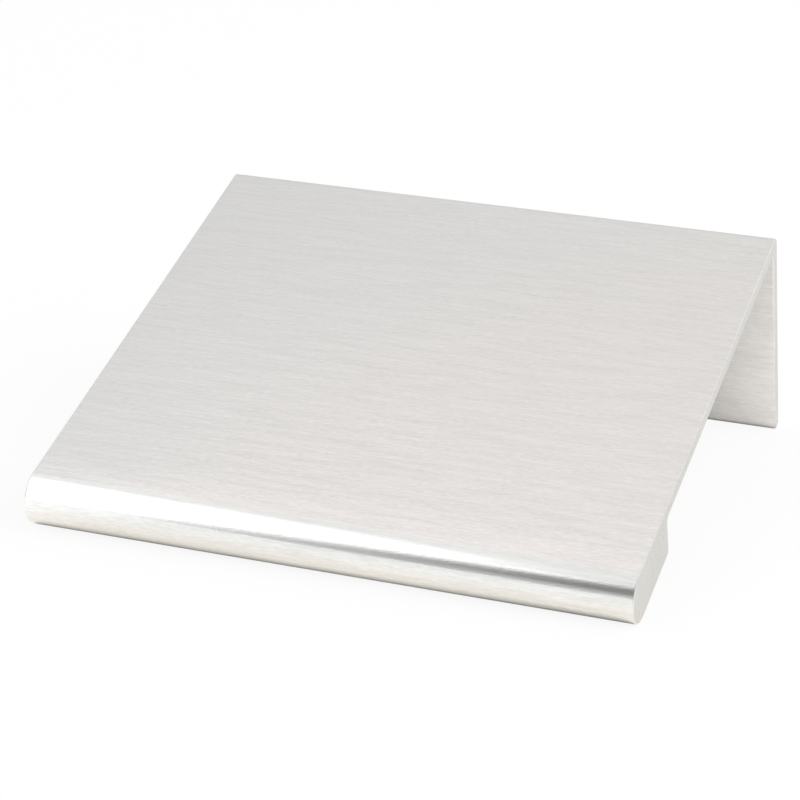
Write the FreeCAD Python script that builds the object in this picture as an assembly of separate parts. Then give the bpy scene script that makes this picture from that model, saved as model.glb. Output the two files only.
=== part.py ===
# Handleless finger pull: one cut length of extruded aluminium edge profile.
# A flat plate lies on the edge of a cabinet panel, a thin leg drops behind the panel and is screwed to
# its back, and a bullnose lip hangs along the front edge of the plate for the fingers to hook behind.
# Sizes are millimetres. The section is drawn square, as it is when fitted: Y runs to the rear from the
# back of the leg and Z up from the top of the plate. The piece is then leaned on to a level floor.
import FreeCAD, Part
import math
import os

os.makedirs("parts", exist_ok=True)

# Driving sizes
length = 50.0  # cut length along X
depth = 46.0  # back of the leg to the tip of the lip
leg_height = 20.5  # top of the plate to the foot of the leg
wall = 1.2  # plate and leg
lip_depth = 9.7  # back face of the lip to its tip
lip_height = 4.6  # top of the plate to the underside of the lip
heel_radius = 0.7  # outside corner where the plate turns down into the leg
root_radius = 0.4  # inside corners under the plate
edge_radius = 0.35  # foot of the leg and lower rear edge of the lip
end_radius = 0.15  # sharp edge taken off around both cut ends
screw_pitch = 32.0  # centre to centre along the leg
screw_edge_distance = 8.5  # foot of the leg to the hole centres
screw_hole_diameter = 3.6
countersink_diameter = 5.2  # at the back of the leg
countersink_angle = 90.0

# Places that follow from the sizes
lip_radius = lip_height / 2
lip_back = lip_depth - depth
screw_height = screw_edge_distance - leg_height
countersink_slope = math.tan(math.radians(countersink_angle / 2))
countersink_depth = (countersink_diameter - screw_hole_diameter) / 2 / countersink_slope


def section_point(y, z):
    """A point of the section, on the left end of the length."""
    return FreeCAD.Vector(-length / 2, y, z)


def rounded_wire(corners):
    """Closed wire through corners given as (y, z, radius), each rounded by its own tangent arc."""
    rounds = []
    for index, (y, z, radius) in enumerate(corners):
        corner = section_point(y, z)
        before = section_point(*corners[index - 1][:2]) - corner
        after = section_point(*corners[(index + 1) % len(corners)][:2]) - corner
        before.normalize()
        after.normalize()
        half_angle = before.getAngle(after) / 2
        setback = radius / math.tan(half_angle)
        inward = (before + after).normalize()
        middle = corner + inward * (radius / math.sin(half_angle) - radius)
        rounds.append((corner + before * setback, middle, corner + after * setback))
    edges = []
    for index, (start, middle, end) in enumerate(rounds):
        edges.append(Part.Arc(start, middle, end).toShape())
        next_start = rounds[(index + 1) % len(rounds)][0]
        if not end.isEqual(next_start, 1e-6):
            edges.append(Part.LineSegment(end, next_start).toShape())
    return Part.Wire(edges)


def extruded_profile():
    """The section pulled along the length, with the lip's front a full half round."""
    corners = [
        (0, -leg_height, edge_radius),
        (0, 0, heel_radius),
        (-depth, 0, lip_radius),
        (-depth, -lip_height, lip_radius),
        (lip_back, -lip_height, edge_radius),
        (lip_back, -wall, root_radius),
        (-wall, -wall, root_radius),
        (-wall, -leg_height, edge_radius),
    ]
    face = Part.Face(rounded_wire(corners))
    return face.extrude(FreeCAD.Vector(length, 0, 0))


def deburred(shape):
    """The piece with a small round along the outline of both cut ends."""
    end_edges = []
    for edge in shape.Edges:
        span = edge.BoundBox
        if span.XLength < end_radius and abs(abs(span.Center.x) - length / 2) < end_radius:
            end_edges.append(edge)
    return shape.makeFillet(end_radius, end_edges)


def screw_cutter(x):
    """Clearance hole through the leg, countersunk from behind, centred at x."""
    forward = FreeCAD.Vector(0, -1, 0)
    # The hole starts one wall behind the leg and ends one wall in front of it
    hole_start = FreeCAD.Vector(x, wall, screw_height)
    hole_radius = screw_hole_diameter / 2
    hole = Part.makeCylinder(hole_radius, 3 * wall, hole_start, forward)
    sink_start = FreeCAD.Vector(x, 0, screw_height)
    sink_radius = countersink_diameter / 2
    sink = Part.makeCone(sink_radius, hole_radius, countersink_depth, sink_start, forward)
    return hole.fuse(sink)


def rest_slope():
    """Angle of the floor line that touches the foot of the leg and the underside of the lip."""
    foot_to_lip = (depth - lip_radius) - (wall - edge_radius)
    drop = (leg_height - edge_radius) - (lip_height - lip_radius)
    centre_distance = math.hypot(foot_to_lip, drop)
    return math.atan2(drop, foot_to_lip) - math.asin((lip_radius - edge_radius) / centre_distance)


def leaned(shape):
    """The piece tipped forward on to the floor, with the origin under the middle of its box."""
    slope = rest_slope()
    shape = shape.copy()
    shape.rotate(FreeCAD.Vector(0, 0, 0), FreeCAD.Vector(1, 0, 0), math.degrees(slope))
    foot_y = edge_radius - wall
    foot_z = edge_radius - leg_height
    floor = foot_y * math.sin(slope) + foot_z * math.cos(slope) - edge_radius
    rear = -edge_radius * math.cos(slope) - foot_z * math.sin(slope) + edge_radius
    front = (lip_radius - depth) * math.cos(slope) + lip_radius * math.sin(slope) - lip_radius
    shape.translate(FreeCAD.Vector(0, -(front + rear) / 2, -floor))
    return shape


profile = deburred(extruded_profile())
for side in (-1, 1):
    profile = profile.cut(screw_cutter(side * screw_pitch / 2))
profile = leaned(profile)
profile.exportStep("parts/finger_pull_profile.step")

box = profile.optimalBoundingBox()
print("rest slope in degrees", round(math.degrees(rest_slope()), 3))
print("box", [round(v, 3) for v in (box.XMin, box.XMax, box.YMin, box.YMax, box.ZMin, box.ZMax)])
print("valid", profile.isValid(), "solids", len(profile.Solids), "volume", round(profile.Volume, 2))
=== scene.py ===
import bpy
import math
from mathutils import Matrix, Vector

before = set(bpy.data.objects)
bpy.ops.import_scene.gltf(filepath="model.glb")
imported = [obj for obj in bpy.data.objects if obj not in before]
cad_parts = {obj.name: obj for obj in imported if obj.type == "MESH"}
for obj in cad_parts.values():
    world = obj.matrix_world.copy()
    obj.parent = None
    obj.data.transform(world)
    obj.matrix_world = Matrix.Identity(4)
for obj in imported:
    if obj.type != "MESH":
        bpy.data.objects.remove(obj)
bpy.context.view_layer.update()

mm = 0.001  # millimetres to metres
noTint = (1, 1, 1, 1)
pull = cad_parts["finger_pull_profile"]


def newTree(owner):
    owner.use_nodes = True
    owner.node_tree.nodes.clear()
    return owner.node_tree


def addNode(tree, kind, settings=None, **sockets):
    # sockets: a value is set, another node's socket is linked; names with a space use an underscore
    node = tree.nodes.new(kind)
    for key, value in (settings or {}).items():
        setattr(node, key, value)
    for key, value in sockets.items():
        socket = findSocket(node, key)
        if isinstance(value, bpy.types.NodeSocket):
            tree.links.new(value, socket)
        else:
            socket.default_value = value
    return node


def findSocket(node, key):
    if key.startswith("in") and key[2:].isdigit():  # in0, in1: by place, where names repeat
        return node.inputs[int(key[2:])]
    return node.inputs[key.replace("_", " ")]


def calculate(tree, operation, first, second=0.0):
    return addNode(tree, "ShaderNodeMath", {"operation": operation}, in0=first, in1=second).outputs[0]


def product(tree, first, *others):
    for other in others:
        first = calculate(tree, "MULTIPLY", first, other)
    return first


def rampTo(tree, value, low, high, toLow=0.0, toHigh=1.0, smooth=True):
    settings = {"interpolation_type": "SMOOTHSTEP" if smooth else "LINEAR", "clamp": True}
    sockets = {"Value": value, "From_Min": low, "From_Max": high, "To_Min": toLow, "To_Max": toHigh}
    return addNode(tree, "ShaderNodeMapRange", settings, **sockets).outputs["Result"]


def rampDown(tree, value, low, high, smooth=True):
    return rampTo(tree, value, low, high, 1.0, 0.0, smooth)


def mixValue(tree, share, first, second):
    node = addNode(tree, "ShaderNodeMix", {"data_type": "FLOAT"}, in0=share, in2=first, in3=second)
    return node.outputs[0]


def mixColour(tree, share, first, second):
    node = addNode(tree, "ShaderNodeMix", {"data_type": "RGBA"}, in0=share, in6=first, in7=second)
    return node.outputs[2]


def mixShader(tree, share, first, second):
    return addNode(tree, "ShaderNodeMixShader", in0=share, in1=first.outputs[0], in2=second.outputs[0])


# Brushed aluminium, satin anodised: fine lines along the length, plain sawn ends.
# A pair is where a change starts and where it ends, unless its note says otherwise
aluminium = {
    "slope": 20.2075,  # the plate's lean in degrees
    "pale": (0.959, 0.9645, 0.949, 1),
    "dark": (0.788, 0.792, 0.778, 1),
    "fineLine": {"length": 0.7, "width": 0.11, "detail": 3.0, "seed": 3.1},  # mm
    "broadLine": {"length": 5.0, "width": 0.42, "detail": 2.0, "seed": 7.9},
    "fineShare": 0.6,
    "sawnPale": (0.69, 0.679, 0.64, 1),
    "sawnDark": (0.62, 0.61, 0.574, 1),
    "sawLine": {"length": 3.0, "width": 0.22, "detail": 3.0, "seed": 5.3},  # down the sawn ends
    "noiseRange": (0.3, 0.7),  # of the noise, from the dark lines to the pale ones
    "noiseRoughness": 0.6,
    "noiseShift": (1.0, 0.7, 1.3),  # how far a seed moves the noise along X, Y and Z
    "roundTurn": (0.08, 0.3),  # share of the normal along X, where the rounds about the ends set in
    "endTurn": (0.85, 0.97),  # and where the sawn ends do
    "roughness": (0.26, 0.12),  # of the dark lines and of the pale ones
    "endRoughness": 0.1,  # added on the sawn ends
    "roundRoughness": 0.3,  # added on the small rounds about the ends
    "lipPolish": 0.75,  # roughness of the lip's round against the rest
    "anisotropy": 0.45,
    "bumpHeight": 0.016,  # mm
    "bumpStrength": 0.5,
    "crownFrom": -17.3,  # mm along the plate, where its front starts to round off
    "crownTo": -20.3,
    "crownHeight": 0.05,  # mm
}


def turnBy(tree, place, *degrees):
    angles = [math.radians(v) for v in degrees]
    node = addNode(tree, "ShaderNodeMapping", {"vector_type": "POINT"}, Vector=place, Rotation=angles)
    return node.outputs[0]


def streaks(tree, place, length, width, detail, seed):
    # noise drawn out along X: length and width in mm are about one streak's
    s = aluminium
    scale = (1 / (length * mm), 1 / (width * mm), 1 / (width * mm))
    shift = [seed * share for share in s["noiseShift"]]
    drawn = addNode(tree, "ShaderNodeMapping", {"vector_type": "POINT"},
                    Vector=place, Location=shift, Scale=scale)
    noise = addNode(tree, "ShaderNodeTexNoise", {"noise_dimensions": "3D"}, Vector=drawn.outputs[0],
                    Scale=1.0, Detail=detail, Roughness=s["noiseRoughness"])
    return noise.outputs[0]


def makeAluminium():
    s = aluminium
    material = bpy.data.materials.new("brushedAluminium")
    tree = newTree(material)
    coords = addNode(tree, "ShaderNodeTexCoord").outputs["Object"]
    place = turnBy(tree, coords, -s["slope"], 0, 0)  # level with the plate
    fine = streaks(tree, place, **s["fineLine"])
    broad = streaks(tree, place, **s["broadLine"])
    lines = mixValue(tree, s["fineShare"], broad, fine)
    level = rampTo(tree, lines, *s["noiseRange"], smooth=False)

    normal = addNode(tree, "ShaderNodeNewGeometry").outputs["Normal"]
    facing = addNode(tree, "ShaderNodeSeparateXYZ", Vector=normal).outputs["X"]
    sideways = calculate(tree, "ABSOLUTE", facing)
    onRound = rampTo(tree, sideways, *s["roundTurn"])
    onEnd = rampTo(tree, sideways, *s["endTurn"])

    upright = turnBy(tree, place, 0, 90, 0)
    marks = streaks(tree, upright, **s["sawLine"])
    marks = rampTo(tree, marks, *s["noiseRange"], smooth=False)
    brushed = mixColour(tree, level, s["dark"], s["pale"])
    sawn = mixColour(tree, marks, s["sawnDark"], s["sawnPale"])
    colour = mixColour(tree, onEnd, brushed, sawn)

    roughness = rampTo(tree, level, 0.0, 1.0, *s["roughness"], smooth=False)
    added = mixValue(tree, onEnd, product(tree, onRound, s["roundRoughness"]), s["endRoughness"])
    along = addNode(tree, "ShaderNodeSeparateXYZ", Vector=place).outputs["Y"]
    crownEdge = s["crownTo"] * mm, s["crownFrom"] * mm
    polish = rampTo(tree, along, *crownEdge, s["lipPolish"], 1.0)
    roughness = product(tree, calculate(tree, "ADD", roughness, added), polish)

    # The gloss is drawn out across the lines, and upwards on the sawn ends
    across = addNode(tree, "ShaderNodeVectorMath", {"operation": "CROSS_PRODUCT"},
                     in0=normal, in1=(1, 0, 0))
    tangent = addNode(tree, "ShaderNodeMix", {"data_type": "VECTOR"},
                      in0=onEnd, in4=across.outputs[0], in5=(0, 0, 1))

    toLip = rampDown(tree, along, *crownEdge, smooth=False)
    fallen = product(tree, toLip, toLip, -1.0)
    crown = addNode(tree, "ShaderNodeBump", Strength=1.0, Distance=s["crownHeight"] * mm, Height=fallen)
    bump = addNode(tree, "ShaderNodeBump", Strength=s["bumpStrength"], Distance=s["bumpHeight"] * mm,
                   Height=lines, Normal=crown.outputs[0])
    metal = addNode(tree, "ShaderNodeBsdfPrincipled", Metallic=1.0, Anisotropic=s["anisotropy"],
                    Base_Color=colour, Roughness=roughness, Normal=bump.outputs[0],
                    Tangent=tangent.outputs[1])
    addNode(tree, "ShaderNodeOutputMaterial", Surface=metal.outputs[0])
    return material


metalMaterial = makeAluminium()
for slot in pull.material_slots:
    slot.material = metalMaterial
print("aluminium on", len(pull.material_slots), "slot")


# Floor: pale and plain, and it keeps the shadow. The camera sees it nearly white. What the metal
# mirrors
# is painted: a painted contact shadow where the piece stands, painted shade under the plate, a painted
# warm bounce by the lip, and a painted pool of light towards the softbox
floor = {
    "size": 6.0,
    "colour": (0.92, 0.917, 0.908, 1),
    "whiteForCamera": 0.89,
    "whiteForMetal": 0.55,
    "contact": 3.0,  # mm, how far the painted contact shadow reaches
    "contactSamples": 8,
    "contactOpen": (0.17, 0.33),  # share of open sky, from the painted dark line to the pale floor
    "contactLevel": (0.12, 1.01),  # of the one and of the other
    "contactEnd": (5.0, 22.0),  # mm, where the painted dark line grows darker towards the right end
    "contactDeeper": 0.03,
    "warmBounce": (1.045, 0.9825, 0.901, 1),  # painted warm bounce before the lip
    "creamShade": (1.041, 0.977, 0.951, 1),  # painted warm bounce under the plate
    "creamFront": (-33.0, -24.3),  # mm, where the first sets in
    "creamRear": (-22.0, -15.0),  # mm, from the first to the second
    "creamEnds": (24.0, 27.0),  # mm from the middle, where both end
    "softBoxSide": (-32.0, -16.0),  # mm, from the floor made paler by a painted pool of light by the softbox to the piece
    "softBoxGain": 1.3,
    "farSide": (-45.0, -26.0),  # mm, from the floor greyed by painted shade far in front to the piece
    "farLevel": 0.9,
    "rearSide": (24.5, 34.0),  # mm, where painted shade greys it behind the leg
    "rearLevel": 0.88,
    "underPlate": 0.54,  # level of the painted shade under the plate
    "underEnds": (15.5, 26.5),  # mm from the middle, where that shade ends
    "underFront": (-21.0, -17.0),  # mm, where it starts behind the lip
    "underRear": (23.0, 25.0),  # mm, where it ends under the leg
    "legFoot": 23.95,  # mm, the line where the leg stands
    "footEnds": (25.0, 26.0),  # mm from the middle, where that line ends
    "footLine": (0.42, 0.65),  # mm to either side of it, the painted shade line along the foot
    "footShade": 0.42,
    "footNear": (1.0, 5.0),  # mm to either side, the softer painted shade beside it
    "nearLevel": 0.9,
}


def mirroredPaintedShade(tree, x, y):
    # how bright the floor is in the metal: painted contact shadow, painted shade under the plate and by
    # the leg's foot, and a painted pool of light by the softbox
    s = floor
    sky = addNode(tree, "ShaderNodeAmbientOcclusion", {"samples": s["contactSamples"]},
                  Distance=s["contact"] * mm)
    deeper = rampTo(tree, x, *s["contactEnd"], 0.0, s["contactDeeper"])
    openSky = calculate(tree, "SUBTRACT", sky.outputs["AO"], deeper)
    contact = rampTo(tree, openSky, *s["contactOpen"], *s["contactLevel"])
    # painted pool of light, paler towards the softbox
    softBox = rampTo(tree, x, *s["softBoxSide"], s["softBoxGain"], 1.0)
    far = rampTo(tree, y, *s["farSide"], s["farLevel"], 1.0)
    rear = rampTo(tree, y, *s["rearSide"], 1.0, s["rearLevel"])

    middle = calculate(tree, "ABSOLUTE", x)
    shade = product(tree, rampDown(tree, middle, *s["underEnds"]), rampTo(tree, y, *s["underFront"]),
                    rampDown(tree, y, *s["underRear"]))
    under = mixValue(tree, shade, 1.0, s["underPlate"])

    toFoot = calculate(tree, "ABSOLUTE", calculate(tree, "SUBTRACT", y, s["legFoot"]))
    footLevel = product(tree, rampTo(tree, toFoot, *s["footLine"], s["footShade"], 1.0),
                        rampTo(tree, toFoot, *s["footNear"], s["nearLevel"], 1.0))
    foot = mixValue(tree, rampDown(tree, middle, *s["footEnds"]), 1.0, footLevel)
    return product(tree, contact, softBox, far, rear, under, foot)


def mirroredPaintedBounce(tree, x, y, mirrored):
    # painted warm bounce, which the metal mirrors off the floor before the lip and under the plate
    s = floor
    middle = calculate(tree, "ABSOLUTE", x)
    near = product(tree, rampTo(tree, y, *s["creamFront"]), rampDown(tree, middle, *s["creamEnds"]))
    warmBounce = mixColour(tree, rampTo(tree, y, *s["creamRear"]), s["warmBounce"], s["creamShade"])
    return mixColour(tree, product(tree, near, mirrored), noTint, warmBounce)


def makeFloor():
    s = floor
    bpy.ops.object.select_all(action="DESELECT")
    bpy.ops.mesh.primitive_plane_add(size=s["size"], location=(0, 0, 0))
    ground = bpy.context.object
    ground.name = "studioFloor"
    material = bpy.data.materials.new("paleFloor")
    tree = newTree(material)
    path = addNode(tree, "ShaderNodeLightPath").outputs
    mirrored = calculate(tree, "MAXIMUM", path["Is Glossy Ray"], path["Is Transmission Ray"])
    place = addNode(tree, "ShaderNodeTexCoord").outputs["Object"]
    place = addNode(tree, "ShaderNodeVectorMath", {"operation": "SCALE"}, in0=place, Scale=1 / mm)
    place = addNode(tree, "ShaderNodeSeparateXYZ", Vector=place.outputs[0]).outputs
    level = mixValue(tree, mirrored, 1.0, mirroredPaintedShade(tree, place["X"], place["Y"]))
    tint = mirroredPaintedBounce(tree, place["X"], place["Y"], mirrored)

    paper = addNode(tree, "ShaderNodeBsdfDiffuse", Color=s["colour"])
    # white to the camera; to the metal it carries the painted shadow, shade, light and warm bounce
    white = addNode(tree, "ShaderNodeEmission", Color=tint, Strength=level)
    toCamera = product(tree, path["Is Camera Ray"], s["whiteForCamera"])
    toMetal = product(tree, mirrored, s["whiteForMetal"])
    mix = mixShader(tree, calculate(tree, "ADD", toCamera, toMetal), paper, white)
    # Clear from beneath, so that the underside can be looked at
    backs = addNode(tree, "ShaderNodeNewGeometry").outputs["Backfacing"]
    clear = addNode(tree, "ShaderNodeBsdfTransparent")
    mix = mixShader(tree, product(tree, backs, path["Is Camera Ray"]), mix, clear)
    addNode(tree, "ShaderNodeOutputMaterial", Surface=mix.outputs[0])
    ground.data.materials.append(material)


makeFloor()
print("floor")


# Studio: a bright ceiling over greyer walls, a big round softbox and a white panel at the front left,
# a dark patch in the front wall, a pale one at the back right that lights the edges, and a lamp at
# the right. Directions are degrees of azimuth, 0 the front and 90 the right, and of height above the
# floor; sideways is the share of a direction along X. A pair is where a change starts and ends
studio = {
    "front": 0.432,  # wall
    "side": 0.8,
    "sideFrom": (42.0, 64.0),  # azimuth to either side
    "ceiling": (0.963, 0.9),  # levels at the left and at the right of the piece
    "ceilingFrom": (-0.42, -0.24),  # sideways
    "frontRise": (32.0, 62.0),  # height, from wall to ceiling
    "backFrom": (118.0, 134.0),  # azimuth to either side
    "backTurn": (138.0, 162.0),  # from the back's corners to straight behind
    "cornerBack": (51.0, 57.5, 0.685, 0.92),  # heights, from wall to ceiling, and their levels
    "straightBack": (53.0, 68.0, 0.745, 0.95),
    "warm": (1.046, 0.992, 0.981, 1),  # tint of the ceiling at the back
    "warmFrom": (52.5, 55.8),  # height
    "warmSide": (-0.45, -0.38),  # sideways
    "pale": {"start": (118.0, 128.0), "end": (158.0, 168.0), "top": (40.0, 48.0)},
    "paleLevel": 1.1,
    "dark": {"start": (-20.5, -14.0), "end": (20.0, 30.0), "top": (27.5, 42.0)},
    "darkFoot": (6.5, 16.0),  # height, from the level at its foot to the dark
    "darkLevels": (0.55, 0.2),
    "softBoxAt": (-70.5, 24.5),  # azimuth and height
    "softBoxEdge": (40.3, 45.3),  # half width in degrees
    "softBoxLeft": (-0.6, -0.5),  # sideways, where softbox and panel start at the left
    "softBoxLevel": 1.6,  # 1 is the white of the background
    "panel": {"start": (-118.0, -112.0), "end": (-26.9, -20.9), "top": (42.0, 50.0), "lean": 0.115},
}


def towards(azimuth, height):
    a, h = math.radians(azimuth), math.radians(height)
    return Vector((math.sin(a) * math.cos(h), -math.cos(a) * math.cos(h), math.sin(h)))


def wallPatch(tree, azimuth, height, start, end, top, lean=0.0):
    # share of a patch of wall, whose end leans to the right by so many degrees for each degree up
    endAzimuth = azimuth
    if lean:
        endAzimuth = calculate(tree, "SUBTRACT", azimuth, product(tree, height, lean))
    return product(tree, rampTo(tree, azimuth, *start), rampDown(tree, endAzimuth, *end),
                   rampDown(tree, height, *top))


def plainRoom(tree, sideways, around, height, atBack):
    s = studio
    wall = rampTo(tree, around, *s["sideFrom"], s["front"], s["side"])
    ceiling = rampTo(tree, sideways, *s["ceilingFrom"], *s["ceiling"])
    front = rampTo(tree, height, *s["frontRise"], wall, ceiling)
    behind = rampTo(tree, around, *s["backTurn"])
    back = [mixValue(tree, behind, *pair) for pair in zip(s["cornerBack"], s["straightBack"])]
    return mixValue(tree, atBack, front, rampTo(tree, height, *back))


def softBoxShare(tree, direction, sideways, azimuth, height):
    s = studio
    facing = addNode(tree, "ShaderNodeVectorMath", {"operation": "DOT_PRODUCT"}, in0=direction,
                     in1=towards(*s["softBoxAt"]))
    away = calculate(tree, "DEGREES", calculate(tree, "ARCCOSINE", facing.outputs["Value"]))
    disc = rampDown(tree, away, *s["softBoxEdge"])
    both = calculate(tree, "MAXIMUM", disc, wallPatch(tree, azimuth, height, **s["panel"]))
    return product(tree, both, rampTo(tree, sideways, *s["softBoxLeft"]))


def makeStudio():
    s = studio
    world = bpy.data.worlds.new("studio")
    bpy.context.scene.world = world
    tree = newTree(world)
    direction = addNode(tree, "ShaderNodeTexCoord").outputs["Generated"]
    xyz = addNode(tree, "ShaderNodeSeparateXYZ", Vector=direction).outputs
    sideways = xyz["X"]
    height = calculate(tree, "DEGREES", calculate(tree, "ARCSINE", xyz["Z"]))
    azimuth = calculate(tree, "ARCTAN2", sideways, product(tree, xyz["Y"], -1.0))
    azimuth = calculate(tree, "DEGREES", azimuth)
    around = calculate(tree, "ABSOLUTE", azimuth)
    atBack = rampTo(tree, around, *s["backFrom"])

    level = plainRoom(tree, sideways, around, height, atBack)
    level = mixValue(tree, wallPatch(tree, azimuth, height, **s["pale"]), level, s["paleLevel"])
    dark = rampTo(tree, height, *s["darkFoot"], *s["darkLevels"])
    level = mixValue(tree, wallPatch(tree, azimuth, height, **s["dark"]), level, dark)
    softBox = softBoxShare(tree, direction, sideways, azimuth, height)
    level = mixValue(tree, softBox, level, s["softBoxLevel"])

    warm = product(tree, rampTo(tree, height, *s["warmFrom"]), rampTo(tree, sideways, *s["warmSide"]),
                   atBack)
    tint = mixColour(tree, warm, noTint, s["warm"])
    room = addNode(tree, "ShaderNodeBackground", Color=tint, Strength=level)
    white = addNode(tree, "ShaderNodeBackground", Color=noTint, Strength=1.0)
    path = addNode(tree, "ShaderNodeLightPath").outputs
    mix = mixShader(tree, path["Is Camera Ray"], room, white)
    addNode(tree, "ShaderNodeOutputWorld", Surface=mix.outputs[0])


sideLamp = {
    "azimuth": 86.0,
    "height": 30.0,
    "distance": 0.8,
    "width": 0.95,
    "tall": 0.9,
    "brightness": 1.75,
}


def makeSideLamp():
    s = sideLamp
    light = bpy.data.lights.new("sideLamp", "AREA")
    light.shape = "RECTANGLE"
    light.size = s["width"]
    light.size_y = s["tall"]
    light.energy = s["brightness"] * math.pi * s["width"] * s["tall"]
    lamp = bpy.data.objects.new("sideLamp", light)
    bpy.context.scene.collection.objects.link(lamp)
    outwards = towards(s["azimuth"], s["height"])
    lamp.location = outwards * s["distance"]
    lamp.rotation_euler = outwards.to_track_quat("Z", "Y").to_euler()
    lamp.visible_camera = False
    lamp.visible_glossy = False  # the metal mirrors the pale wall behind it instead


makeStudio()
makeSideLamp()
print("studio light")


# Camera at the photograph's angle
cameraSettings = {
    "place": (69.19, -203.068, 81.797),  # mm
    "angles": (70.6951, -1.5501, 19.9591),  # degrees
    "lens": 121.92,
    "sensor": 36.0,
    "clip": (0.01, 20.0),  # metres
}


def makeCamera():
    s = cameraSettings
    data = bpy.data.cameras.new("photoCamera")
    data.lens = s["lens"]
    data.sensor_width = s["sensor"]
    data.clip_start, data.clip_end = s["clip"]
    camera = bpy.data.objects.new("photoCamera", data)
    camera.location = [v * mm for v in s["place"]]
    camera.rotation_euler = [math.radians(v) for v in s["angles"]]
    bpy.context.scene.collection.objects.link(camera)
    bpy.context.scene.camera = camera


makeCamera()
bpy.context.scene.view_settings.view_transform = "Standard"
print("camera")
